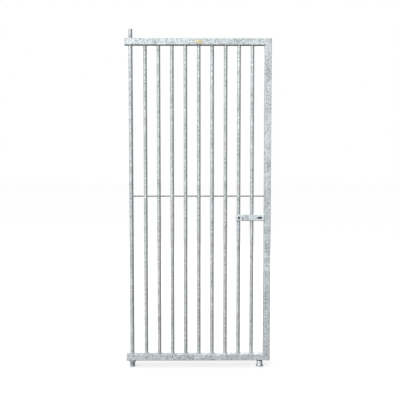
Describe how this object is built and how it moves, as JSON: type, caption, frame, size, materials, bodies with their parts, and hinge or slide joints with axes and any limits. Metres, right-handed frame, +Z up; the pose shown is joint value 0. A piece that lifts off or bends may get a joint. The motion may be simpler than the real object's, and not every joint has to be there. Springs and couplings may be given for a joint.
{
  "type": "barred kennel gate leaf",
  "caption": "Welded square-tube gate leaf with round upright bars, a hinge rod turning in a flanged pivot cup, a rest foot and a slide latch.",
  "frame": {"origin": "on the hinge axis, at the centre of the pivot cup's flat underside, where it stands on the ground", "axes": "+X runs along the leaf from the hinge axis to the latch side, +Z is up along the hinge axis, and the latch case stands on the -Y face"},
  "size_m": [0.9, 0.053, 2.098],
  "materials": {
    "galvanised_frame": "hot-dip zinc, spangled and matt",
    "galvanised_bar": "hot-dip zinc, smoother than the frame",
    "galvanised_latch": "hot-dip zinc on sheet",
    "zinc_plated": "bright zinc plate on the foot stud",
    "blackened_steel": "dark oiled steel on the latch bolt and its case screw",
    "galvanised_pivot": "hot-dip zinc on turned steel",
    "domed_badge": "glossy domed resin"
  },
  "bodies": {
    "pivot": {"pivot_cup": "galvanised_pivot"},
    "leaf": {"top_rail": "galvanised_frame", "upper_hinge_block": "galvanised_frame", "bottom_rail": "galvanised_frame", "latch_post": "galvanised_frame", "top_rail_end_cap": "galvanised_frame", "bottom_rail_end_cap": "galvanised_frame", "post_top_cap": "galvanised_frame", "post_foot_cap": "galvanised_frame", "hinge_rod": "galvanised_bar", "cross_rod": "galvanised_bar", "bar_1": "galvanised_bar", "bar_2": "galvanised_bar", "bar_3": "galvanised_bar", "bar_4": "galvanised_bar", "bar_5": "galvanised_bar", "bar_6": "galvanised_bar", "bar_7": "galvanised_bar", "bar_8": "galvanised_bar", "bar_9": "galvanised_bar", "foot_stud": "zinc_plated", "rest_foot": "galvanised_pivot", "latch_case": "galvanised_latch", "latch_back_plate": "galvanised_latch", "upper_latch_guide": "galvanised_latch", "lower_latch_guide": "galvanised_latch", "latch_screw": "blackened_steel", "name_plate": "domed_badge"},
    "bolt": {"latch_bolt": "blackened_steel"}
  },
  "joints": [
    {"name": "gate_swing", "type": "hinge", "parent": "pivot", "child": "leaf", "pos_m": [0, 0, 0], "axis": [0, 0, 1], "range_deg": [-90, 90]},
    {"name": "latch_slide", "type": "slide", "parent": "leaf", "child": "bolt", "axis": [1, 0, 0], "range_m": [0, 0.021]}
  ]
}
